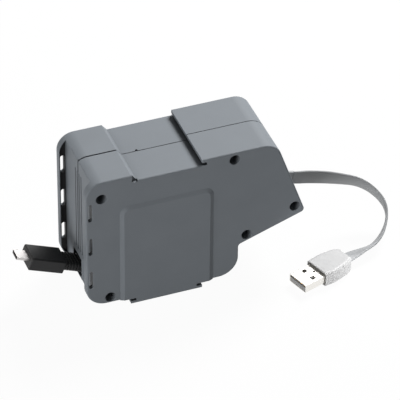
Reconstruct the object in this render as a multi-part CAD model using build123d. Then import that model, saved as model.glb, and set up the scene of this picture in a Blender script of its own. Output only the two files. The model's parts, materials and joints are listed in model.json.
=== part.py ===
from build123d import *
from math import asin, atan2, cos, degrees, hypot, radians, sin, tan
import os

os.makedirs("parts", exist_ok=True)

# Retractable charging cable, in millimetres. +X runs along the case towards its nose, +Z is up,
# Y = 0 is the parting plane of the two halves, and Z = 0 is the underside of the foot rail.

# Case outline, seen along Y
case_depth = 42.6
wall = 2.4
flange_x = -39.9
flange_reach = 3.7
flange_t = 4.0
flange_web = 1.8
flange_rim = 0.45
base_z = 2.75
top_z = 76.0
pad_rise = 3.2
base_corner_r = 10.0
left_corner_r = 8.5
shoulder_r = 9.5
waist_x = 36.95
waist_r = 2.0
tip_x = 71.0
tip_z = 32.0
tip_r = 2.0
nose_tilt = 19.5
edge_r = 0.8
cut = 1.0

# Raised pads on top: a bevelled step on the left, a hooked lip on the right
step_x = -17.2
step_run = 2.6
ledge_start = 0.3
ledge_run = 2.8
ledge_width = 1.6
ledge_drop = 0.8
lip_x = 17.8
lip_t = 1.6
lip_reach = 2.6

# Foot rail under the case, undercut at both ends
rail_length = 36.2
rail_head_t = 1.35
rail_undercut = 2.8

# Slots through the side flanges
slot_count = 3
slot_pitch = 20.1
slot_mid_z = 39.3
slot_width = 2.1
slot_length = 10.2
slot_x = -37.7
pad_t = 0.6
pad_gap = 0.1

# Fine grooves down the end face, beside the parting line
groove_offsets = (1.35, 4.05)
groove_width = 1.0
groove_depth = 0.9
groove_low_z = 21.0
groove_high_z = 68.0

# Seam between the halves, wider on the left pad and above the grooves, and nicked beside the pad
seam_gap = 0.2
seam_depth = 0.8
pad_seam_gap = 0.4
end_seam_gap = 0.6
end_seam_length = 8.0
nick_x = -7.6
nick_length = 1.1
nick_width = 1.2
nick_depth = 0.6

# Raised panel on the near face, with sloped sides
panel_left_x = -23.2
panel_right_x = 23.9
panel_top_z = 59.0
panel_rise = 0.9
panel_run = 2.0
panel_r = 4.5

# Self-tapping screws, driven from the near side
screw_spots = ((-32.1, 66.3), (-28.1, 6.3), (34.2, 72.0), (65.5, 36.1), (41.0, 25.4))
screw_hole_r = 2.7
screw_sink = 12.0
screw_head_r = 2.5
screw_head_t = 2.0
screw_shank_r = 1.45
screw_clear = 0.15
screw_bite = 0.2
screw_grip = 9.0
boss_wall = 1.0
driver_width = 0.7
driver_span = 3.0
driver_depth = 1.0

# Drum on its fixed axle, filling the case
drum_gap_z = 1.8
drum_gap_x = 0.6
drum_flange_t = 1.5
chamber_width = 8.2
hub_wall = 2.2
axle_r = 2.0
axle_clear = 0.05
axle_seat_clear = 0.03
drum_boss_r = 5.0
drum_boss_reach = 2.1
barrel_inset = 4.6
barrel_wall = 1.6
cover_t = 1.4
cover_boss_reach = 0.5
washer_t = 0.5
washer_r = 4.4
end_play = 0.05
axle_boss_wall = 2.2
axle_boss_reach = 1.4
axle_cap = 1.2

# Ratchet on the barrel and its pawl
ratchet_rise = 2.3
ratchet_width = 4.0
ratchet_end = 0.5
ratchet_notches = 8
notch_depth = 2.2
notch_span = 18.0
pawl_angle = 12.0
pawl_pivot_angle = 34.0
pawl_pivot_out = 8.5
pawl_tip_gap = 0.5
pawl_tip_width = 1.6
pawl_hub_r = 3.0
pawl_side_gap = 0.3
pawl_pin_r = 1.0
pawl_pin_squeeze = 0.02
pawl_pin_seat = 4.0
pawl_boss_r = 2.6
pawl_spring_t = 0.35
pawl_spring_length = 9.0
pawl_spring_gap = 0.3

# Power spring
spring_pitch = 3.85
spring_t = 0.4
spring_gap = 0.4

# Slip rings and brushes
board_t = 1.6
board_inset = 9.3
ring_radii = (9.0, 12.0, 15.0, 18.0)
ring_width = 1.6
ring_t = 0.15
brush_gap = 0.06
brush_width = 1.4
brush_t = 0.3
brush_drop = 7.0
brush_bend_r = 1.0
brush_touch_low = 1.0
brush_reach = 4.9
block_low = 3.4
block_high = 14.6
block_margin = 3.2

# Flat cable
cable_width = 7.0
cable_t = 1.3
coil_rim = 1.9
coil_build = 5.7
coil_gap = 0.3
guide_gap = 0.2

# Mouth in the end face and the small plug parked in it
mouth_width = 11.4
mouth_low_z = 8.0
mouth_high_z = 19.7
mouth_rim = 1.5
mouth_rim_reach = 1.1
plug_z = 13.35
plug_rise = 22.3
grip_start = 10.2
grip_length = 18.5
grip_width = 12.6
grip_height = 6.8
grip_top_bevel = 0.6
grip_bevel = 0.4
relief_width = 10.4
relief_height = 5.2
relief_r = 1.8
relief_inset = 1.0
relief_rib = 0.9
relief_rib_drop = 0.55
relief_ribs = 7
small_shell_width = 6.85
small_shell_height = 1.85
small_shell_rise = 0.5
small_shell_reach = 6.3
small_shell_seat = 4.0
small_shell_wall = 0.25
small_shell_bevel = 0.75
small_tongue_t = 0.6
small_tongue_inset = 0.7
small_contacts = 5
small_contact_pitch = 0.65
small_contact_width = 0.4
small_contact_t = 0.1
lead_inside = 2.6

# Tail: out through the sloped end, and round to the large plug
tail_z = 45.2
tail_y = -8.3
tail_block_y = -15.4
tail_bend_in_x = 36.0
tail_bend_out_x = 56.0
tail_bend_r = 14.0
tail_turn_x = 60.0
tail_drop = 14.0
tail_exit_x = 68.8
tail_out_run = 3.4
tail_route = (
    (78.9, -5.9, 39.1),
    (92.8, -2.4, 32.35),
    (111.6, 0.25, 21.7),
    (121.0, -10.9, 11.9),
    (109.7, -23.9, 4.1),
)
tail_end_run = 8.0
tail_roll = (0, 0, 0, 0, 2, 6, 12.5, 19.5, 25, 28.5, 26.5, 19, 7,
             -6, -18.5, -28.5, -38, -50.5, -67.5, -83, -90)

# Large plug at the tail's end, lying on the same surface as the foot rail
big_front_x = 60.4
big_front_y = -39.95
big_heading = 198.2
big_shell_width = 12.0
big_shell_height = 4.5
big_shell_reach = 12.0
big_shell_seat = 6.0
big_shell_wall = 0.35
big_shell_r = 0.6
big_window = 2.3
big_window_spread = 6.4
big_window_back = 6.7
big_dot_r = 0.65
big_dot_back = 10.0
big_grip_length = 18.3
big_grip_height = 8.0
big_grip_front = 14.2
big_grip_widest = 15.5
big_grip_widest_at = 6.5
big_grip_shoulder = 13.2
big_grip_shoulder_at = 15.0
big_grip_rear = 9.2
big_grip_r = 1.6
big_grip_side_r = 20.0
big_grip_shoulder_r = 6.0
big_grip_rear_r = 1.8
big_notches = 3
big_notch_first = 3.6
big_notch_pitch = 3.8
big_notch_r = 1.1
big_notch_depth = 0.6
collar_width = 13.2
collar_height = 7.0
collar_r = 1.2
collar_length = 2.5
collar_inset = 0.25
big_tongue_t = 1.85
big_tongue_inset = 0.6
big_contacts = 4
big_contact_pitch = 2.3
big_contact_width = 1.1
big_contact_t = 0.12
big_contact_length = 4.2

# Values worked out from the sizes above
half = case_depth / 2
end_x = flange_x + flange_reach
mid_z = top_z - pad_rise
inner_y = half - wall
slope = tan(radians(nose_tilt))
waist_z = tip_z - (tip_x - waist_x) * slope
room_z = mid_z - base_z - 2 * wall
room_x = waist_x - end_x - 2 * wall
flange_r = min(room_z / 2 - drum_gap_z, room_x / 2 - drum_gap_x)
drum_x = end_x + wall + drum_gap_x + flange_r
drum_z = base_z + wall + room_z / 2
coil_outer_r = flange_r - coil_rim
hub_r = coil_outer_r - coil_build
barrel_r = flange_r - barrel_inset
ratchet_r = barrel_r + ratchet_rise
board_r = flange_r - board_inset
pawl_pivot_r = ratchet_r + pawl_pivot_out
chamber = chamber_width / 2
drum_side = chamber + drum_flange_t
far_boss_end = inner_y - axle_boss_reach
cover_end = far_boss_end - 2 * end_play - washer_t
barrel_end = cover_end - cover_boss_reach - cover_t
board_face = -drum_side - board_t
ring_face = board_face - ring_t
drum_boss_end = -drum_side - drum_boss_reach
near_boss_end = drum_boss_end - 2 * end_play - washer_t
axle_boss_r = axle_r + axle_boss_wall
axle_near = -inner_y + axle_cap
axle_far = half - axle_cap
boss_r = screw_hole_r + boss_wall
block_face = ring_face - brush_reach
ratchet_high = barrel_end - ratchet_end
ratchet_low = ratchet_high - ratchet_width
pawl_low = ratchet_low + pawl_side_gap
pawl_high = ratchet_high - pawl_side_gap


# Tail's own plane, where it turns down towards the slot: x along the cable, z across its width
drop = radians(tail_drop)
tail_out = Vector(cos(drop), 0, -sin(drop))
tail_turn = Vector(tail_turn_x, tail_y, tail_z)
tail_place = Plane(tail_turn, x_dir=tail_out, z_dir=(sin(drop), 0, cos(drop))).location
tail_fall = (tail_exit_x - tail_turn_x) / cos(drop)


def end_slope_x(z):
    return tip_x - (z - tip_z) * slope


def rounded_face(corners):
    points = [(x, z) for x, z, r in corners]
    return make_face(FilletPolyline(*points, radius=[r for x, z, r in corners], close=True))


def slab(face, y_from, y_to):
    upright = Plane.XZ * face
    return Pos(0, y_from, 0) * extrude(upright, amount=y_to - y_from, dir=(0, 1, 0))


def rod(x, z, r, y_from, y_to):
    return slab(Pos(x, z) * Circle(r), y_from, y_to)


def ring(x, z, r_out, r_in, y_from, y_to):
    return slab(Pos(x, z) * (Circle(r_out) - Circle(r_in)), y_from, y_to)


def block(x_from, x_to, y_from, y_to, z_from, z_to):
    size = (x_to - x_from, y_to - y_from, z_to - z_from)
    return Pos(x_from, y_from, z_from) * Box(*size, align=(Align.MIN, Align.MIN, Align.MIN))


def polar(angle, r):
    return (drum_x + r * cos(radians(angle)), drum_z + r * sin(radians(angle)))


# Outline of the case
def case_face():
    return rounded_face((
        (flange_x, base_z, base_corner_r),
        (waist_x, base_z, base_corner_r),
        (waist_x, waist_z, waist_r),
        (tip_x, tip_z, tip_r),
        (end_slope_x(top_z), top_z, shoulder_r),
        (lip_x, top_z, 0),
        (lip_x, mid_z, 0),
        (step_x + step_run, mid_z, 0),
        (step_x, top_z, 0),
        (flange_x, top_z, left_corner_r),
    ))


def cavity_face():
    core = rounded_face((
        (end_x, base_z, base_corner_r),
        (waist_x, base_z, base_corner_r),
        (waist_x, waist_z, waist_r),
        (tip_x, tip_z, tip_r),
        (end_slope_x(mid_z), mid_z, shoulder_r),
        (end_x, mid_z, left_corner_r),
    ))
    return offset(core, -wall)


def rail_face():
    reach = rail_length / 2
    neck = reach - rail_undercut
    return rounded_face((
        (-reach, 0, 0),
        (reach, 0, 0),
        (reach, rail_head_t, 0),
        (neck, rail_head_t, 0),
        (neck, base_z + wall / 2, 0),
        (-neck, base_z + wall / 2, 0),
        (-neck, rail_head_t, 0),
        (-reach, rail_head_t, 0),
    ))


def slot_faces():
    faces = []
    for index in range(slot_count):
        slot_z = slot_mid_z + (index - (slot_count - 1) / 2) * slot_pitch
        faces.append(Pos(slot_x, slot_z) * SlotOverall(slot_length, slot_width, rotation=90))
    return faces


def flange_pocket(side, inset, y_from, y_to):
    inner = slab(offset(case_face(), -inset), side * y_from, side * y_to)
    return inner & block(flange_x, end_x + flange_rim - inset, -half, half, base_z, top_z)


def half_case(side):
    """One half of the case, closed at its face: side is -1 for the near one, 1 for the far one."""
    outline = case_face()
    face_y = side * half
    shell = slab(outline, face_y, 0)
    face_edges = shell.edges().group_by(Axis.Y)[0 if side < 0 else -1]
    shell = fillet(face_edges, edge_r)
    shell -= block(lip_x - cut, lip_x + lip_reach, min(0, face_y), max(0, face_y), mid_z, top_z - lip_t)
    rail_y = face_y - panel_rise if side < 0 else face_y
    shell += slab(rail_face(), rail_y, 0)
    shell -= slab(cavity_face(), side * inner_y, 0)
    skin = outline - offset(outline, -seam_depth)
    shell -= slab(skin, -side * seam_gap, side * seam_gap)
    left_pad = block(flange_x, step_x, -pad_seam_gap, pad_seam_gap, top_z - left_corner_r, top_z)
    shell -= slab(skin, -side * pad_seam_gap, side * pad_seam_gap) & left_pad
    shell -= block(end_x, end_x + seam_depth, -seam_gap, seam_gap, mouth_high_z + mouth_rim, top_z)
    shell -= block(end_x, end_x + seam_depth, -end_seam_gap, end_seam_gap, top_z - end_seam_length, top_z)

    inside = half - flange_t
    shell -= block(flange_x - cut, end_x, min(0, side * inside), max(0, side * inside), 0, top_z + cut)
    shell -= flange_pocket(side, flange_rim, inside, half - flange_web)
    for cutter in slot_faces():
        shell -= slab(cutter, side * (half + cut), side * (inside - cut))
    for offset_y in groove_offsets:
        low_y = side * offset_y - groove_width / 2
        shell -= block(end_x, end_x + groove_depth, low_y, low_y + groove_width,
                       groove_low_z, groove_high_z)

    mouth_height = mouth_high_z - mouth_low_z
    mouth_place = Plane((end_x, 0, mouth_low_z + mouth_height / 2), x_dir=(0, 1, 0), z_dir=(-1, 0, 0))
    rim_face = mouth_place * Rectangle(mouth_width + 2 * mouth_rim, mouth_height + 2 * mouth_rim)
    own_half = block(flange_x, end_x + wall, min(0, face_y), max(0, face_y), base_z, top_z)
    shell += extrude(rim_face, amount=mouth_rim_reach, taper=45) & own_half
    reach_y = side * mouth_width / 2
    shell -= block(end_x - mouth_rim_reach - cut, end_x + wall + cut, min(0, reach_y), max(0, reach_y),
                   mouth_low_z, mouth_high_z)
    return shell


def keep_inside(solid, side):
    return solid & slab(cavity_face(), side * (inner_y + wall / 2), 0)


def raised_panel():
    low_z = base_z - panel_run
    foot = rounded_face((
        (panel_left_x, low_z, 0),
        (panel_right_x, low_z, 0),
        (panel_right_x, panel_top_z, panel_r),
        (panel_left_x, panel_top_z, panel_r),
    ))
    crown = rounded_face((
        (panel_left_x + panel_run, low_z, 0),
        (panel_right_x - panel_run, low_z, 0),
        (panel_right_x - panel_run, panel_top_z - panel_run, panel_r - panel_run),
        (panel_left_x + panel_run, panel_top_z - panel_run, panel_r - panel_run),
    ))
    foot_y = Pos(0, -half, 0) * Plane.XZ.location
    crown_y = Pos(0, -half - panel_rise, 0) * Plane.XZ.location
    body = loft([foot_y * foot, crown_y * crown], ruled=True) + slab(foot, -half, -half + edge_r)
    return body & block(panel_left_x, panel_right_x, -half - panel_rise, -half + edge_r, base_z, panel_top_z)


# Near half: raised panel, deep screw wells, the axle's seat, the tail's slot and the notch at the step
def near_shell():
    shell = half_case(-1) + raised_panel()
    for x, z in screw_spots:
        shell += keep_inside(rod(x, z, boss_r, -half + wall / 2, 0), -1)
    shell += rod(drum_x, drum_z, axle_boss_r, -inner_y, near_boss_end)
    shell -= rod(drum_x, drum_z, axle_r + axle_seat_clear, axle_near, near_boss_end + cut)
    for x, z in screw_spots:
        shell -= rod(x, z, screw_hole_r, -half - cut, -half + screw_sink)
        shell -= rod(x, z, screw_shank_r + screw_clear, -half, cut)
    slot_half_y = cable_t / 2 + guide_gap
    slot_half_z = cable_width / 2 + guide_gap
    shell -= tail_place * along(Rectangle(2 * slot_half_y, 2 * slot_half_z), 0, tail_fall + wall)
    ledge_x = step_x + ledge_start
    shell -= block(ledge_x, ledge_x + ledge_run, -half - cut, -half + ledge_width,
                   mid_z - ledge_drop, top_z + cut)
    return shell


# Far half: screw pilots, the axle's seat, the pawl's post and the nick in its seam
def far_shell():
    shell = half_case(1)
    shell -= block(nick_x, nick_x + nick_length, 0, nick_width, mid_z - nick_depth, mid_z + cut)
    pawl_x, pawl_z = polar(pawl_pivot_angle, pawl_pivot_r)
    for x, z in screw_spots:
        shell += keep_inside(rod(x, z, boss_r, 0, half - wall / 2), 1)
        shell -= rod(x, z, screw_shank_r - screw_bite, -cut, screw_grip + cut)
    shell += rod(drum_x, drum_z, axle_boss_r, far_boss_end, inner_y)
    shell -= rod(drum_x, drum_z, axle_r + axle_seat_clear, far_boss_end - cut, axle_far)
    shell += rod(pawl_x, pawl_z, pawl_boss_r, pawl_high + pawl_side_gap, inner_y)
    shell -= rod(pawl_x, pawl_z, pawl_pin_r - pawl_pin_squeeze, pawl_high,
                 pawl_high + pawl_side_gap + pawl_pin_seat)
    return shell


# Black strips that line the pockets of the two flanges
def flange_pads():
    pads = []
    for side in (-1, 1):
        pad = flange_pocket(side, flange_rim + pad_gap, half - flange_web - pad_t, half - flange_web)
        for cutter in slot_faces():
            pad -= slab(cutter, side * half, side * (half - flange_t))
        pads.append(pad)
    return Compound(pads)


def case_screws():
    seat_y = -half + screw_sink
    screws = []
    for x, z in screw_spots:
        screw = rod(x, z, screw_head_r, seat_y - screw_head_t, seat_y)
        screw += rod(x, z, screw_shank_r, seat_y, screw_grip)
        top_y = seat_y - screw_head_t
        for span_x, span_z in ((driver_span, driver_width), (driver_width, driver_span)):
            screw -= block(x - span_x / 2, x + span_x / 2, top_y, top_y + driver_depth,
                           z - span_z / 2, z + span_z / 2)
        screws.append(screw)
    return Compound(screws)


def axle():
    shaft = rod(drum_x, drum_z, axle_r, axle_near, axle_far)
    slot = block(drum_x - spring_t, drum_x + spring_t, drum_side + spring_gap,
                 barrel_end - spring_gap, drum_z - axle_r / 2, drum_z + axle_r + cut)
    return shaft - slot


# Drum turned about the axle: cable chamber, spring barrel and ratchet in one moulding
def drum():
    bore = axle_r + axle_clear
    body = ring(drum_x, drum_z, drum_boss_r, bore, drum_boss_end, chamber)
    body += ring(drum_x, drum_z, hub_r, hub_r - hub_wall, -drum_side, chamber)
    body += ring(drum_x, drum_z, flange_r, hub_r - hub_wall, -drum_side, -chamber)
    body += ring(drum_x, drum_z, flange_r, bore, chamber, drum_side)
    body += ring(drum_x, drum_z, barrel_r, barrel_r - barrel_wall, drum_side, barrel_end)
    body += ring(drum_x, drum_z, ratchet_r, barrel_r - barrel_wall / 2, ratchet_low, ratchet_high)
    notch_r = ratchet_r - notch_depth
    stop = pawl_angle - degrees((pawl_tip_width / 2 + pawl_side_gap) / ratchet_r)
    for index in range(ratchet_notches):
        angle = stop + index * 360 / ratchet_notches
        notch = Polyline(polar(angle, notch_r), polar(angle, ratchet_r + cut),
                         polar(angle + notch_span, ratchet_r + cut),
                         polar(angle + notch_span, ratchet_r),
                         close=True)
        body -= slab(make_face(notch), ratchet_low, ratchet_high)
    return body


def barrel_cover():
    bore = axle_r + axle_clear
    cover = ring(drum_x, drum_z, barrel_r, bore, barrel_end, barrel_end + cover_t)
    return cover + ring(drum_x, drum_z, drum_boss_r, bore, barrel_end + cover_t, cover_end)


def thrust_washers():
    bore = axle_r + axle_clear
    near = ring(drum_x, drum_z, washer_r, bore, drum_boss_end - end_play - washer_t,
                drum_boss_end - end_play)
    far = ring(drum_x, drum_z, washer_r, bore, cover_end + end_play, cover_end + end_play + washer_t)
    return Compound([near, far])


# Power spring: a strip wound from the axle to the barrel's wall, in half turns
def power_spring():
    start_r = axle_r + spring_gap + spring_t / 2
    room = barrel_r - barrel_wall - spring_gap - spring_t / 2 - start_r
    half_turns = int(2 * room / spring_pitch)
    sides = []
    for shift in (-spring_t / 2, spring_t / 2):
        point = Vector(drum_x + start_r + shift, drum_z)
        heading = Vector(0, 1)
        for index in range(half_turns):
            arc = JernArc(point, heading, start_r + index * spring_pitch / 2 + shift, 180)
            sides.append(arc)
            point = arc @ 1
            heading = arc % 1
        sides.append(point)
    turns = half_turns
    inner, inner_end = sides[:turns], sides[turns]
    outer, outer_end = sides[turns + 1:-1], sides[-1]
    caps = [Line(inner[0] @ 0, outer[0] @ 0), Line(inner_end, outer_end)]
    strip = make_face([*inner, *outer, *caps])
    return slab(strip, drum_side + spring_gap, barrel_end - spring_gap)


# Pawl, drawn clear of the ratchet
def pawl():
    pivot = polar(pawl_pivot_angle, pawl_pivot_r)
    clear_r = ratchet_r + pawl_tip_gap
    edge = degrees(pawl_tip_width / 2 / ratchet_r)
    low_tip = polar(pawl_angle - edge, clear_r)
    high_tip = polar(pawl_angle + edge, clear_r)
    reach_x, reach_z = pivot[0] - low_tip[0], pivot[1] - low_tip[1]
    reach = hypot(reach_x, reach_z)
    out_x, out_z = reach_z / reach, -reach_x / reach
    arm = make_face(Polyline(
        low_tip,
        (pivot[0] + out_x * pawl_hub_r, pivot[1] + out_z * pawl_hub_r),
        (pivot[0] - out_x * pawl_hub_r, pivot[1] - out_z * pawl_hub_r),
        high_tip,
        close=True,
    ))
    face = arm + Pos(*pivot) * Circle(pawl_hub_r)
    face -= Pos(*pivot) * Circle(pawl_pin_r + axle_clear)
    return slab(face, pawl_low, pawl_high)


def pawl_pin():
    x, z = polar(pawl_pivot_angle, pawl_pivot_r)
    return rod(x, z, pawl_pin_r, pawl_low - pawl_side_gap, pawl_high + pawl_side_gap + pawl_pin_seat)


def pawl_spring():
    x, z = polar(pawl_pivot_angle, pawl_pivot_r)
    low_x = x + pawl_hub_r + pawl_spring_gap
    return block(low_x, low_x + pawl_spring_t, pawl_low, inner_y,
                 z - pawl_spring_length / 2, z + pawl_spring_length / 2)


# Slip rings turn with the drum, brushes stay with the case
def slip_ring_board():
    return ring(drum_x, drum_z, board_r, drum_boss_r + end_play, board_face, -drum_side)


def slip_rings():
    rings = [ring(drum_x, drum_z, r + ring_width / 2, r - ring_width / 2, ring_face, board_face)
             for r in ring_radii]
    return Compound(rings)


def brush_block():
    x_from = drum_x + ring_radii[0] - block_margin
    x_to = drum_x + ring_radii[-1] + block_margin
    body = block(x_from, x_to, -inner_y, block_face, drum_z + block_low, drum_z + block_high)
    return chamfer(body.edges().group_by(Axis.Y)[-1], brush_t)


def brushes():
    touch_y = ring_face - brush_gap
    root_y = block_face + brush_t / 2
    root_z = drum_z + (block_low + block_high) / 2
    bend_z = drum_z + block_low - brush_bend_r
    touch = (touch_y - brush_t / 2, drum_z - brush_touch_low)
    path = FilletPolyline((root_y, root_z), (root_y, bend_z), touch, (root_y, drum_z - brush_drop),
                          radius=[brush_bend_r, brush_bend_r])
    leaf_face = Plane.YZ * trace(path, brush_t)
    leaves = [Pos(drum_x + r - brush_width / 2, 0, 0) * extrude(leaf_face, amount=brush_width, dir=(1, 0, 0))
              for r in ring_radii]
    return Compound(leaves)


# Cable wound on the hub, one solid for all its turns
def cable_coil():
    return ring(drum_x, drum_z, coil_outer_r, hub_r + coil_gap / 2, -cable_width / 2, cable_width / 2)


# Small plug: its own plane starts in the mouth, x outwards along the cable, z across its thickness
rise = radians(plug_rise)
plug_out = Vector(-cos(rise), 0, sin(rise))
plug_place = Plane((end_x, 0, plug_z), x_dir=plug_out, z_dir=(sin(rise), 0, cos(rise))).location


def along(face, x_from, x_to):
    upright = Plane.YZ * face
    return Pos(x_from, 0, 0) * extrude(upright, amount=x_to - x_from, dir=(1, 0, 0))


def lead_run():
    """Cable between the coil and the mouth, led into the small plug's line."""
    tangent_r = coil_outer_r + coil_gap + cable_t / 2
    inner_end = Vector(end_x, 0, plug_z) - plug_out * lead_inside
    corner = inner_end - plug_out * lead_inside
    to_x, to_z = drum_x - corner.X, drum_z - corner.Z
    turn = asin(tangent_r / hypot(to_x, to_z)) - atan2(to_z, to_x)
    touch = (drum_x - tangent_r * sin(turn), drum_z - tangent_r * cos(turn))
    path = FilletPolyline(touch, (corner.X, corner.Z), (inner_end.X, inner_end.Z),
                          radius=[lead_inside * 3])
    strip = trace(path, cable_t)
    return slab(strip, -cable_width / 2, cable_width / 2)


def pull_lead():
    strip = along(Rectangle(cable_width, cable_t), -lead_inside, -relief_inset)
    return plug_place * strip


def small_shell_face():
    low = small_shell_rise - small_shell_height / 2
    high = small_shell_rise + small_shell_height / 2
    side = small_shell_width / 2
    return make_face(Polyline(
        (-side, high), (side, high), (side, low + small_shell_bevel),
        (side - small_shell_bevel, low), (-side + small_shell_bevel, low),
        (-side, low + small_shell_bevel), close=True,
    ))


def plug_grip():
    front = grip_start + grip_length
    side, top = grip_width / 2, grip_height / 2
    section = make_face(Polyline(
        (-side, -top + grip_bevel), (-side + grip_bevel, -top), (side - grip_bevel, -top),
        (side, -top + grip_bevel), (side, top - grip_top_bevel), (side - grip_top_bevel, top),
        (-side + grip_top_bevel, top), (-side, top - grip_top_bevel), close=True,
    ))
    body = along(section, grip_start, front)
    ends = body.faces().sort_by(Axis.X)
    body = chamfer(ends[0].edges() + ends[-1].edges(), grip_bevel)
    core = RectangleRounded(relief_width - 2 * relief_rib_drop, relief_height - 2 * relief_rib_drop,
                            relief_r - relief_rib_drop)
    body += along(core, -relief_inset, grip_start)
    rib_face = RectangleRounded(relief_width, relief_height, relief_r)
    pitch = (grip_start + relief_inset) / relief_ribs
    for index in range(relief_ribs):
        low = -relief_inset + index * pitch
        body += along(rib_face, low, low + relief_rib)
    body -= along(small_shell_face(), front - small_shell_seat, front)
    return plug_place * body


def plug_shell():
    front = grip_start + grip_length
    outer = small_shell_face()
    tube = along(outer - offset(outer, -small_shell_wall), front - small_shell_seat,
                 front + small_shell_reach)
    return plug_place * tube


def plug_tongue():
    front = grip_start + grip_length
    inside = small_shell_width - 2 * small_shell_wall - 2 * small_shell_bevel
    low = small_shell_rise - small_shell_height / 2 + small_shell_wall
    face = Pos(0, low + small_tongue_t / 2) * Rectangle(inside, small_tongue_t)
    return plug_place * along(face, front - small_shell_seat, front + small_shell_reach - small_tongue_inset)


def contact_strips(count, pitch, width, thick, low, x_from, x_to):
    strips = []
    for index in range(count):
        mid = (index - (count - 1) / 2) * pitch
        strips.append(along(Pos(mid, low + thick / 2) * Rectangle(width, thick), x_from, x_to))
    return Compound(strips)


def plug_contacts():
    front = grip_start + grip_length
    low = small_shell_rise - small_shell_height / 2 + small_shell_wall + small_tongue_t
    strips = contact_strips(small_contacts, small_contact_pitch, small_contact_width, small_contact_t, low,
                            front - small_shell_seat, front + small_shell_reach - 2 * small_tongue_inset)
    return plug_place * strips


# Tail inside the case, on edge, from the brush block and down through the slot
def tail_inner():
    start_x = drum_x + ring_radii[-1] + block_margin
    path = FilletPolyline((start_x, tail_block_y), (tail_bend_in_x, tail_block_y),
                          (tail_bend_out_x, tail_y), (tail_turn_x + cable_width, tail_y), radius=tail_bend_r)
    strip = Pos(0, 0, tail_z - cable_width / 2) * trace(path, cable_t)
    level = extrude(strip, amount=cable_width, dir=(0, 0, 1))
    fall = tail_place * along(Rectangle(cable_t, cable_width), -cable_width, tail_fall)
    mitre = Plane(tail_turn, z_dir=Vector(1, 0, 0) + tail_out)
    return split(level, bisect_by=mitre, keep=Keep.BOTTOM) + split(fall, bisect_by=mitre, keep=Keep.TOP)


# Large plug: its own plane starts at its metal front, x backwards along the cable
heading = radians(big_heading)
big_back = Vector(-cos(heading), -sin(heading), 0)
big_place = Plane((big_front_x, big_front_y, big_grip_height / 2), x_dir=big_back, z_dir=(0, 0, 1)).location
big_rear = big_shell_reach + big_grip_length


def tail_cable():
    """Free flat cable along a smooth route, rolled about it from on edge at the slot to flat at the plug."""
    end = Vector(big_front_x, big_front_y, big_grip_height / 2) + big_back * big_rear
    start = tail_turn + tail_out * tail_fall
    points = [start, start + tail_out * tail_out_run, *[Vector(*point) for point in tail_route]]
    points += [end + big_back * tail_end_run, end]
    joins = [start, *[(a + b) / 2 for a, b in zip(points[1:-2], points[2:-1])], end]
    path = Wire([Bezier(a, bend, b) for a, bend, b in zip(joins, points[1:-1], joins[1:])])
    sections = []
    for index, roll in enumerate(tail_roll):
        share = index / (len(tail_roll) - 1)
        ahead = path % share
        upright = Vector(0, 0, 1) - ahead * ahead.Z
        across = upright.rotate(Axis((0, 0, 0), ahead), roll)
        sections.append(Plane(path @ share, x_dir=across, z_dir=ahead) * Rectangle(cable_width, cable_t))
    return loft(sections)


# Half the width of the large plug's overmould at each corner of its plan
big_sides = (
    (big_shell_reach, big_grip_front / 2),
    (big_shell_reach + big_grip_widest_at, big_grip_widest / 2),
    (big_shell_reach + big_grip_shoulder_at, big_grip_shoulder / 2),
    (big_rear, big_grip_rear / 2),
)


def big_side_at(x):
    for (x_low, y_low), (x_high, y_high) in zip(big_sides, big_sides[1:]):
        if x <= x_high:
            return y_low + (y_high - y_low) * (x - x_low) / (x_high - x_low)


def big_grip():
    front = big_shell_reach
    radii = (0, big_grip_side_r, big_grip_shoulder_r, big_grip_rear_r)
    start = ((front - big_shell_seat, big_grip_front / 2, 0),)
    sides = start + tuple((x, y, r) for (x, y), r in zip(big_sides, radii))
    plan = rounded_face(sides + tuple((x, -y, r) for x, y, r in reversed(sides)))
    body = extrude(plan, amount=big_grip_height / 2, both=True)
    body = fillet(body.faces().sort_by(Axis.Z)[-1].edges(), big_grip_r)
    body = fillet(body.faces().sort_by(Axis.Z)[0].edges(), big_grip_r)
    body &= along(Rectangle(2 * big_grip_widest, 2 * big_grip_height), front, big_rear)
    for index in range(big_notches):
        notch_x = front + big_notch_first + index * big_notch_pitch
        notch_y = big_side_at(notch_x) + big_notch_r - big_notch_depth
        for side in (-1, 1):
            body -= Pos(notch_x, side * notch_y, 0) * Cylinder(big_notch_r, big_grip_height)
    body -= along(RectangleRounded(collar_width, collar_height, collar_r), front, front + collar_length)
    body -= along(big_shell_face(), front, front + big_shell_seat)
    return big_place * body


def big_collar():
    ring_face = RectangleRounded(collar_width, collar_height, collar_r) - big_shell_face()
    return big_place * along(ring_face, big_shell_reach + collar_inset, big_shell_reach + collar_length)


def big_shell_face():
    return RectangleRounded(big_shell_width, big_shell_height, big_shell_r)


def big_shell():
    end = big_shell_reach + big_shell_seat
    outer = big_shell_face()
    tube = along(outer - offset(outer, -big_shell_wall), 0, end)
    for side in (-1, 1):
        tube -= Pos(big_window_back, side * big_window_spread / 2, 0) * Box(
            big_window, big_window, big_shell_height + cut)
    tube -= Pos(big_dot_back, 0, big_shell_height / 2) * Cylinder(big_dot_r, big_shell_height)
    return big_place * tube


def big_tongue():
    low = -big_shell_height / 2 + big_shell_wall
    inside = big_shell_width - 2 * big_shell_wall
    inner_r = big_shell_r - big_shell_wall
    face = Pos(0, low + big_tongue_t / 2) * RectangleRounded(inside, big_tongue_t, inner_r)
    return big_place * along(face, big_tongue_inset, big_shell_reach + big_shell_seat)


def big_contact_strips():
    low = -big_shell_height / 2 + big_shell_wall + big_tongue_t
    strips = contact_strips(big_contacts, big_contact_pitch, big_contact_width, big_contact_t, low,
                            2 * big_tongue_inset, 2 * big_tongue_inset + big_contact_length)
    return big_place * strips


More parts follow.
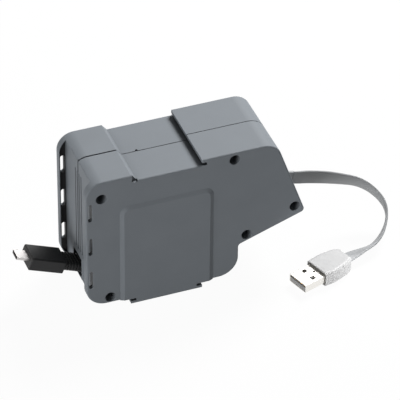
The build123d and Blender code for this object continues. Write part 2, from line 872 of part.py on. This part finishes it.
pieces = {
    "near_shell": near_shell,
    "far_shell": far_shell,
    "flange_pads": flange_pads,
    "case_screws": case_screws,
    "axle": axle,
    "drum": drum,
    "barrel_cover": barrel_cover,
    "thrust_washers": thrust_washers,
    "power_spring": power_spring,
    "pawl": pawl,
    "pawl_pin": pawl_pin,
    "pawl_spring": pawl_spring,
    "slip_ring_board": slip_ring_board,
    "slip_rings": slip_rings,
    "brush_block": brush_block,
    "brushes": brushes,
    "cable_coil": cable_coil,
    "lead_run": lead_run,
    "pull_lead": pull_lead,
    "micro_plug_grip": plug_grip,
    "micro_plug_shell": plug_shell,
    "micro_plug_tongue": plug_tongue,
    "micro_plug_contacts": plug_contacts,
    "tail_inner": tail_inner,
    "tail_cable": tail_cable,
    "usb_plug_grip": big_grip,
    "usb_plug_collar": big_collar,
    "usb_plug_shell": big_shell,
    "usb_plug_tongue": big_tongue,
    "usb_plug_contacts": big_contact_strips,
}
for name, make in pieces.items():
    export_step(make(), f"parts/{name}.step")
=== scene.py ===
import json
import math

import bmesh
import bpy
from mathutils import Matrix, Vector


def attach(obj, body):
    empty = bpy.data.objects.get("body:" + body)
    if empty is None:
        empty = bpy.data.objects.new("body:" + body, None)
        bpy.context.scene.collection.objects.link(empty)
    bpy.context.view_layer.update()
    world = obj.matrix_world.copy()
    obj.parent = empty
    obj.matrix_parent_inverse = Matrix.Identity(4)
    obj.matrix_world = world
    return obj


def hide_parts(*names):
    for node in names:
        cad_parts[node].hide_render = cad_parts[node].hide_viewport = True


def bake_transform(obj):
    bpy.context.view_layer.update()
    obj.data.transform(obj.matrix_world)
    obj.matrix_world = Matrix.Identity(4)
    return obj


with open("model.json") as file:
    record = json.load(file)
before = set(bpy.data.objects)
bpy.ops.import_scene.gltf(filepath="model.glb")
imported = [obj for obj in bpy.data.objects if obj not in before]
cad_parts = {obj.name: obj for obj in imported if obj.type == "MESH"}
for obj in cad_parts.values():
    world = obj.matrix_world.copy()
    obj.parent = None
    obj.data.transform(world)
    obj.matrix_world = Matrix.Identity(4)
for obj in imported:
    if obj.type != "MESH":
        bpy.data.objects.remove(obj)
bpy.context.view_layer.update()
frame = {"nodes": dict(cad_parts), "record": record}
nodes = frame["nodes"]
mm = 0.001
print("frame loaded:", len(nodes), "nodes")


def addObject(name, data):
    thing = bpy.data.objects.new(name, data)
    bpy.context.scene.collection.objects.link(thing)
    return thing


# camera as the photograph was taken: a long lens, from above and a little left of the screw side
# aimFrom lies by the case's low near corner; aimRight and aimUp lead from it to the picture's middle, in mm
shot = {"azimuth": -21.07, "elevation": 38.21, "roll": 0.644, "distance": 1.5, "pxPerMm": 2.102,
        "aimFrom": (-39.7, -21.3, 0.0), "aimRight": 53.4, "aimUp": 53.498,
        "imagePx": 400.0, "sensor": 36.0, "clip": (0.05, 20.0)}


def placeCamera():
    azimuth = math.radians(shot["azimuth"])
    elevation = math.radians(shot["elevation"])
    back = Vector((math.sin(azimuth) * math.cos(elevation), -math.cos(azimuth) * math.cos(elevation),
                   math.sin(elevation)))
    level = Vector((math.cos(azimuth), math.sin(azimuth), 0.0))
    right = Matrix.Rotation(math.radians(shot["roll"]), 3, back) @ level
    up = back.cross(right)
    aim = (right * shot["aimRight"] + up * shot["aimUp"] + Vector(shot["aimFrom"])) * mm
    data = bpy.data.cameras.new("photoCamera")
    data.sensor_width = shot["sensor"]
    data.lens = shot["sensor"] * shot["pxPerMm"] * shot["distance"] / mm / shot["imagePx"]
    data.clip_start, data.clip_end = shot["clip"]
    camera = addObject("photoCamera", data)
    camera.matrix_world = Matrix((right, up, back)).transposed().to_4x4()
    camera.location = aim + back * shot["distance"]
    bpy.context.scene.camera = camera


placeCamera()
print("camera placed")


def feed(tree, node, inputs):
    # each input takes another node's output or a plain value
    for label, source in inputs.items():
        if isinstance(source, bpy.types.NodeSocket):
            tree.links.new(source, node.inputs[label])
        else:
            node.inputs[label].default_value = source


def addNode(tree, kind, inputs, **settings):
    node = tree.nodes.new(kind)
    for key, value in settings.items():
        setattr(node, key, value)
    feed(tree, node, inputs)
    return node


def newGroup(name, inputs, outputs):
    group = bpy.data.node_groups.new(name, "ShaderNodeTree")
    for label, kind in inputs.items():
        group.interface.new_socket(label, in_out="INPUT", socket_type=kind)
    for label, kind in outputs.items():
        group.interface.new_socket(label, in_out="OUTPUT", socket_type=kind)
    return group, group.nodes.new("NodeGroupInput").outputs, group.nodes.new("NodeGroupOutput")


# the shader group that every finish shares: spark-eroded mould grain, slow mottling, painted shade that
# darkens the hollows, and edges a touch rounder than the faces, made paler by a painted highlight
# edgeFrom and edgeFull are cosines between a face and its softened normal, where the painted edge highlight
# starts and is full
mould = {"grainDetail": 3.0, "mottleScale": 55.0, "mottleDetail": 4.0, "noiseMiddle": 0.5,
         "edgeSamples": 6, "edgeFrom": 0.99, "edgeFull": 0.8, "paintedShadeSamples": 8}

# the group's inputs, and the values of a finish that they take
grainInputs = {"Mottle": "mottle", "Grain Scale": "grainScale", "Roughness": "roughness",
               "Roughness Spread": "spread", "Edge Radius": "edge", "Painted Edge Highlight": "edgeHighlight",
               "Painted Shade Reach": "paintedShadeReach", "Painted Shade Tone": "paintedShadeTone"}


def mouldGrainAndPaintedLightGroup():
    group, ins, outs = newGroup(
        "mouldGrainAndPaintedLight",
        {"Color": "NodeSocketColor", **{label: "NodeSocketFloat" for label in grainInputs}},
        {"Color": "NodeSocketColor", "Roughness": "NodeSocketFloat", "Height": "NodeSocketFloat",
         "Normal": "NodeSocketVector"})
    place = addNode(group, "ShaderNodeTexCoord", {}).outputs["Object"]
    grain = addNode(group, "ShaderNodeTexNoise", {
        "Vector": place, "Scale": ins["Grain Scale"], "Detail": mould["grainDetail"]})
    slow = addNode(group, "ShaderNodeTexNoise", {
        "Vector": place, "Scale": mould["mottleScale"], "Detail": mould["mottleDetail"]})
    spread = addNode(group, "ShaderNodeMath", {
        0: slow.outputs["Fac"], 1: mould["noiseMiddle"]}, operation="SUBTRACT").outputs[0]
    soft = addNode(group, "ShaderNodeBevel", {"Radius": ins["Edge Radius"]}, samples=mould["edgeSamples"])
    face = addNode(group, "ShaderNodeNewGeometry", {})
    agree = addNode(group, "ShaderNodeVectorMath", {
        0: soft.outputs["Normal"], 1: face.outputs["Normal"]}, operation="DOT_PRODUCT")
    # mask of the painted edge highlight: 0 on flat faces, 1 where the softened normal turns away at an edge
    edge = addNode(group, "ShaderNodeMapRange", {
        "Value": agree.outputs["Value"], "From Min": mould["edgeFrom"], "From Max": mould["edgeFull"]})
    edgeHighlight = addNode(group, "ShaderNodeMath", {
        0: edge.outputs["Result"], 1: ins["Painted Edge Highlight"], 2: 1.0}, operation="MULTIPLY_ADD")
    # mottling, with the edges made paler by the painted highlight
    tint = addNode(group, "ShaderNodeMath", {
        0: spread, 1: ins["Mottle"], 2: edgeHighlight.outputs[0]}, operation="MULTIPLY_ADD")
    # painted shade: ambient occlusion darkens the colour in hollows and beside other surfaces, down to the
    # given tone
    clear = addNode(group, "ShaderNodeAmbientOcclusion", {"Distance": ins["Painted Shade Reach"]},
                    samples=mould["paintedShadeSamples"])
    paintedShade = addNode(group, "ShaderNodeMapRange", {
        "Value": clear.outputs["AO"], "To Min": ins["Painted Shade Tone"]})
    tone = addNode(group, "ShaderNodeMath", {
        0: tint.outputs[0], 1: paintedShade.outputs["Result"]}, operation="MULTIPLY")
    shade = addNode(group, "ShaderNodeMix", {
        "Factor": 1.0, "A": ins["Color"], "B": tone.outputs[0]}, data_type="RGBA", blend_type="MULTIPLY")
    rough = addNode(group, "ShaderNodeMath", {
        0: spread, 1: ins["Roughness Spread"], 2: ins["Roughness"]}, operation="MULTIPLY_ADD")
    feed(group, outs, {"Color": shade.outputs["Result"], "Roughness": rough.outputs[0],
                       "Height": grain.outputs["Fac"], "Normal": soft.outputs["Normal"]})
    return group


mouldGrainAndPaintedLight = mouldGrainAndPaintedLightGroup()


def emptyMaterial(name):
    material = bpy.data.materials.new(name)
    material.use_nodes = True
    tree = material.node_tree
    return material, tree, tree.nodes["Principled BSDF"]


def grainNode(tree, bsdf, look):
    values = {label: look[key] for label, key in grainInputs.items()}
    grain = addNode(tree, "ShaderNodeGroup", {"Color": (*look["color"], 1), **values}, node_tree=mouldGrainAndPaintedLight)
    feed(tree, bsdf, {"Base Color": grain.outputs["Color"], "Roughness": grain.outputs["Roughness"]})
    return grain


# what a finish has where it doesn't say otherwise; a hollow tone of 1.0 paints no shade
plainLook = {"paintedShadeReach": 0.003, "paintedShadeTone": 1.0, "glowThrough": 0.0, "glowDepth": 0.001}


def mouldedPlastic(name, ownLook):
    look = {**plainLook, **ownLook}
    material, tree, bsdf = emptyMaterial(name)
    grain = grainNode(tree, bsdf, look)
    bump = addNode(tree, "ShaderNodeBump", {
        "Strength": look["bump"], "Distance": look["depth"],
        "Height": grain.outputs["Height"], "Normal": grain.outputs["Normal"]})
    feed(tree, bsdf, {"Normal": bump.outputs["Normal"], "Specular IOR Level": look["specular"],
                      "Subsurface Weight": look["glowThrough"], "Subsurface Radius": (1.0, 1.0, 1.0),
                      "Subsurface Scale": look["glowDepth"]})
    return material


def plainMetal(name, ownLook):
    material, tree, bsdf = emptyMaterial(name)
    grain = grainNode(tree, bsdf, {**plainLook, **ownLook})
    feed(tree, bsdf, {"Normal": grain.outputs["Normal"], "Metallic": 1.0})
    return material


# finishes by slot; edge, depth, glowDepth and the reach of the painted shade in hollows are lengths in
# metres; each finish also sets how much a painted highlight lightens its edges
finishes = {
    # the case paints strong shade into its hollows, down to 0.15 of its colour within 5 mm
    "case": mouldedPlastic("slateCase", {
        "color": (0.238, 0.26, 0.284), "mottle": 0.16, "grainScale": 2600.0,
        "roughness": 0.56, "spread": 0.12, "edge": 0.0003, "edgeHighlight": 0.25,
        "bump": 0.6, "depth": 0.00008, "specular": 0.2, "paintedShadeReach": 0.005, "paintedShadeTone": 0.15}),
    "black_plastic": mouldedPlastic("blackGrip", {
        "color": (0.013, 0.013, 0.0135), "mottle": 0.25, "grainScale": 3000.0,
        "roughness": 0.45, "spread": 0.15, "edge": 0.0003, "edgeHighlight": 0.5,
        "bump": 0.5, "depth": 0.00007, "specular": 0.28}),
    "pale_grip": mouldedPlastic("paleGrip", {
        "color": (0.57, 0.57, 0.572), "mottle": 0.06, "grainScale": 2400.0,
        "roughness": 0.45, "spread": 0.08, "edge": 0.0004, "edgeHighlight": 0.06,
        "bump": 0.25, "depth": 0.00006, "specular": 0.35, "glowThrough": 0.5, "glowDepth": 0.0015}),
    "cable": mouldedPlastic("cableJacket", {
        "color": (0.415, 0.425, 0.434), "mottle": 0.1, "grainScale": 1800.0,
        "roughness": 0.5, "spread": 0.1, "edge": 0.0002, "edgeHighlight": 0.1,
        "bump": 0.2, "depth": 0.00005, "specular": 0.4}),
    "tongue_grey": mouldedPlastic("tongueGrey", {
        "color": (0.38, 0.38, 0.38), "mottle": 0.08, "grainScale": 2400.0,
        "roughness": 0.5, "spread": 0.1, "edge": 0.0001, "edgeHighlight": 0.1,
        "bump": 0.2, "depth": 0.00004, "specular": 0.4}),
    "white_moulding": mouldedPlastic("acetal", {
        "color": (0.68, 0.67, 0.63), "mottle": 0.06, "grainScale": 2000.0,
        "roughness": 0.4, "spread": 0.08, "edge": 0.0003, "edgeHighlight": 0.1,
        "bump": 0.15, "depth": 0.00004, "specular": 0.4}),
    "board": mouldedPlastic("solderMask", {
        "color": (0.02, 0.09, 0.035), "mottle": 0.2, "grainScale": 1500.0,
        "roughness": 0.35, "spread": 0.1, "edge": 0.0002, "edgeHighlight": 0.2,
        "bump": 0.15, "depth": 0.00004, "specular": 0.5}),
    # painted shade: the collar's dark grey stands for the shade on the large grip's front face
    "collar": mouldedPlastic("collarPaintedShade", {
        "color": (0.13, 0.126, 0.118), "mottle": 0.1, "grainScale": 2400.0,
        "roughness": 0.5, "spread": 0.1, "edge": 0.0003, "edgeHighlight": 0.1,
        "bump": 0.2, "depth": 0.00004, "specular": 0.3}),
    "plug_metal": plainMetal("brightNickel", {
        "color": (0.86, 0.842, 0.805), "mottle": 0.06, "grainScale": 1200.0,
        "roughness": 0.26, "spread": 0.14, "edge": 0.0002, "edgeHighlight": 0.04}),
    "small_shell": plainMetal("satinSteel", {
        "color": (0.56, 0.54, 0.53), "mottle": 0.1, "grainScale": 1200.0,
        "roughness": 0.4, "spread": 0.14, "edge": 0.0002, "edgeHighlight": 0.04}),
    "steel": plainMetal("groundSteel", {
        "color": (0.52, 0.52, 0.53), "mottle": 0.1, "grainScale": 1500.0,
        "roughness": 0.34, "spread": 0.15, "edge": 0.0002, "edgeHighlight": 0.1}),
    "spring_steel": plainMetal("springSteel", {
        "color": (0.3, 0.31, 0.34), "mottle": 0.15, "grainScale": 1500.0,
        "roughness": 0.32, "spread": 0.15, "edge": 0.0001, "edgeHighlight": 0.1}),
    "contact_metal": plainMetal("goldFlash", {
        "color": (0.83, 0.6, 0.24), "mottle": 0.08, "grainScale": 1500.0,
        "roughness": 0.26, "spread": 0.1, "edge": 0.0001, "edgeHighlight": 0.1}),
    "black_screw": plainMetal("blackOxide", {
        "color": (0.05, 0.05, 0.052), "mottle": 0.2, "grainScale": 1800.0,
        "roughness": 0.4, "spread": 0.15, "edge": 0.0002, "edgeHighlight": 0.4}),
}

# the collar takes a dark grey that paints the shade on the large grip's front face, and the small plug's
# shell looks unlike the rest of its slot
slotOf = {row["node"]: row["material_slot"] for row in frame["record"]["subparts"]}
slotOf["usb_plug_collar"] = "collar"
slotOf["micro_plug_shell"] = "small_shell"
for name, node in nodes.items():
    node.data.materials.clear()
    node.data.materials.append(finishes[slotOf[name]])
print("finishes on", len(nodes), "nodes")


# flat tail: the route's own points, smoothed by a spline
# roll is how far the strip's width leans from upright, in degrees, at even steps along the way
tail = {"points": ((0.0688, -0.0083, 0.04301), (0.0721, -0.0083, 0.04218), (0.0789, -0.0059, 0.0391),
                   (0.0928, -0.0024, 0.03235), (0.112, 0.0001, 0.0223), (0.121, -0.0109, 0.0119),
                   (0.1098, -0.0244, 0.0041), (0.09678, -0.02799, 0.004), (0.08918, -0.03049, 0.004)),
        "splineOrder": 3, "stepsPerPoint": 10, "width": 0.007, "thick": 0.0013, "ringSegments": 16,
        "roll": (0, 0, 0, 0, 2, 6, 12.5, 18.5, 24, 28, 27, 23, 15,
                 3, -11, -26, -37.5, -48, -61, -77, -90)}
onAxis = 1e-9  # a corner of a section that lies nearer than this to its middle line is in neither half


def splineLine(route):
    data = bpy.data.curves.new("routeSpline", "CURVE")
    data.dimensions = "3D"
    spline = data.splines.new("NURBS")
    spline.points.add(len(route["points"]) - 1)
    for spot, place in zip(spline.points, route["points"]):
        spot.co = (*place, 1.0)
    spline.order_u = route["splineOrder"]
    spline.use_endpoint_u = True
    spline.resolution_u = route["stepsPerPoint"]
    holder = addObject("routeSpline", data)
    bpy.context.view_layer.update()
    smooth = holder.evaluated_get(bpy.context.evaluated_depsgraph_get())
    mesh = bpy.data.meshes.new_from_object(smooth)
    line = [vert.co.copy() for vert in mesh.vertices]
    bpy.data.objects.remove(holder)
    bpy.data.curves.remove(data)
    bpy.data.meshes.remove(mesh)
    return line


def rollAt(share):
    spot = share * (len(tail["roll"]) - 1)
    step = min(int(spot), len(tail["roll"]) - 2)
    first, second = tail["roll"][step:step + 2]
    return math.radians(first + (second - first) * (spot - step))


def sectionRing(bm, place, forward, across, strip):
    # a flat strip's section: a small circle whose two halves are pushed apart
    across = (across - forward * across.dot(forward)).normalized()
    ring = bmesh.ops.create_circle(bm, segments=strip["ringSegments"], radius=strip["thick"] / 2)["verts"]
    push = (strip["width"] - strip["thick"]) / 2
    for vert in ring:
        if abs(vert.co.x) > onAxis:
            vert.co.x += math.copysign(push, vert.co.x)
    turn = Matrix((across, forward.cross(across), forward)).transposed().to_4x4()
    bmesh.ops.transform(bm, matrix=Matrix.Translation(place) @ turn, verts=ring)
    return list({edge for vert in ring for edge in vert.link_edges})


def joinRings(bm, rings):
    for first, second in zip(rings, rings[1:]):
        bmesh.ops.bridge_loops(bm, edges=first + second)
    for ring in (rings[0], rings[-1]):
        bmesh.ops.contextual_create(bm, geom=ring)


def finishMesh(bm, name, material):
    bmesh.ops.recalc_face_normals(bm, faces=bm.faces)
    mesh = bpy.data.meshes.new(name)
    bm.to_mesh(mesh)
    bm.free()
    mesh.materials.append(material)
    for face in mesh.polygons:
        face.use_smooth = True
    piece = addObject(name, mesh)
    return piece


def buildTail():
    line = splineLine(tail)
    runs = [0.0]
    for first, second in zip(line, line[1:]):
        runs.append(runs[-1] + (second - first).length)
    bm = bmesh.new()
    rings = []
    for index, place in enumerate(line):
        before = line[max(index - 1, 0)]
        after = line[min(index + 1, len(line) - 1)]
        forward = (after - before).normalized()
        upright = (Vector((0, 0, 1)) - forward * forward.z).normalized()
        across = Matrix.Rotation(rollAt(runs[index] / runs[-1]), 3, forward) @ upright
        rings.append(sectionRing(bm, place, forward, across, tail))
    joinRings(bm, rings)
    ribbon = finishMesh(bm, "tailRibbon", finishes["cable"])
    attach(ribbon, "case")
    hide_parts("tail_cable")
    print("tail ribbon", round(runs[-1] / mm, 1), "mm")


buildTail()


# cable between the mouth and the small plug, as short as it is when parked
# it climbs outwards by rise degrees; inner and outer place its ends on that line, from the root
pull = {"root": (-0.0362, 0.0, 0.01335), "rise": 22.3, "inner": -0.0026, "outer": -0.001,
        "width": 0.007, "thick": 0.0013, "ringSegments": 16}


def buildPull():
    rise = math.radians(pull["rise"])
    forward = Vector((-math.cos(rise), 0.0, math.sin(rise)))
    ends = [Vector(pull["root"]) + forward * pull[side] for side in ("inner", "outer")]
    bm = bmesh.new()
    joinRings(bm, [sectionRing(bm, place, forward, Vector((0, 1, 0)), pull) for place in ends])
    ribbon = finishMesh(bm, "pullRibbon", finishes["cable"])
    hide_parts("pull_lead")
    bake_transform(ribbon)
    print("pull ribbon joins the mouth and the small plug")


buildPull()


# floor and light: three soft lamps, and a small spot low in front on the large plug alone
# floorSeen and floorGlow are what the camera and reflections see, floorBounce is what lights the part
room = {"floorHalf": 6.0, "floorSeen": 0.95, "floorBounce": 0.15, "floorGlow": 0.96, "floorRough": 0.8,
        "world": 0.05, "lampTarget": (0.0, 0.0, 0.03)}
softLamps = {"keyLight": {"power": 31.0, "size": 0.65, "place": (0.86, 0.69, 1.18)},
             "fillLight": {"power": 9.0, "size": 0.8, "place": (-1.06, -0.65, 0.06)},
             "frontLight": {"power": 1.0, "size": 0.6, "place": (0.2, -1.2, 0.12)}}
plugSpot = {"power": 30.0, "size": 0.02, "place": (0.36, -0.78, 0.14), "target": (0.088, -0.034, 0.004),
            "cone": 3.5, "blend": 0.6}


def grey(level):
    return (level, level, level, 1.0)


def seenRays(tree):
    # 1 where the camera or a reflection looks straight at the surface
    path = addNode(tree, "ShaderNodeLightPath", {})
    seen = addNode(tree, "ShaderNodeMath", {
        0: path.outputs["Is Camera Ray"], 1: path.outputs["Is Glossy Ray"]}, operation="MAXIMUM")
    return seen.outputs[0]


def buildStage():
    bm = bmesh.new()
    bmesh.ops.create_grid(bm, x_segments=1, y_segments=1, size=room["floorHalf"])
    mesh = bpy.data.meshes.new("floor")
    bm.to_mesh(mesh)
    bm.free()
    floor = addObject("floor", mesh)
    material, tree, bsdf = emptyMaterial("paleFloor")
    seen = seenRays(tree)
    pale = addNode(tree, "ShaderNodeMix", {
        "Factor": seen, "A": grey(room["floorBounce"]), "B": grey(room["floorSeen"])}, data_type="RGBA")
    feed(tree, bsdf, {"Base Color": pale.outputs["Result"], "Roughness": room["floorRough"],
                      "Specular IOR Level": 0.0})
    glow = addNode(tree, "ShaderNodeEmission", {})
    share = addNode(tree, "ShaderNodeMath", {0: seen, 1: room["floorGlow"]}, operation="MULTIPLY")
    both = addNode(tree, "ShaderNodeMixShader", {
        "Fac": share.outputs[0], 1: bsdf.outputs["BSDF"], 2: glow.outputs["Emission"]})
    feed(tree, tree.nodes["Material Output"], {"Surface": both.outputs["Shader"]})
    mesh.materials.append(material)
    # the lower part of the fill lamp shines up through the table top, as on a light table
    floor.visible_shadow = False


def aimLamp(data, place, target):
    lamp = addObject(data.name, data)
    lamp.location = place
    lamp.rotation_mode = "QUATERNION"
    lamp.rotation_quaternion = (Vector(target) - Vector(place)).to_track_quat("-Z", "Y")


def softLight(name, lamp):
    data = bpy.data.lights.new(name, "AREA")
    data.shape = "DISK"
    data.size = lamp["size"]
    data.energy = lamp["power"]
    aimLamp(data, lamp["place"], room["lampTarget"])


def plugLight():
    data = bpy.data.lights.new("plugLight", "SPOT")
    data.energy = plugSpot["power"]
    data.shadow_soft_size = plugSpot["size"]
    data.spot_size = math.radians(plugSpot["cone"])
    data.spot_blend = plugSpot["blend"]
    aimLamp(data, plugSpot["place"], plugSpot["target"])


def lightRoom():
    world = bpy.data.worlds.new("whiteRoom")
    bpy.context.scene.world = world
    world.use_nodes = True
    tree = world.node_tree
    level = addNode(tree, "ShaderNodeMath", {
        0: seenRays(tree), 1: 1.0 - room["world"], 2: room["world"]}, operation="MULTIPLY_ADD")
    feed(tree, tree.nodes["Background"], {"Color": grey(1.0), "Strength": level.outputs[0]})
    for name, lamp in softLamps.items():
        softLight(name, lamp)
    plugLight()


buildStage()
lightRoom()
bpy.context.scene.view_settings.view_transform = "Standard"
print("stage lit")
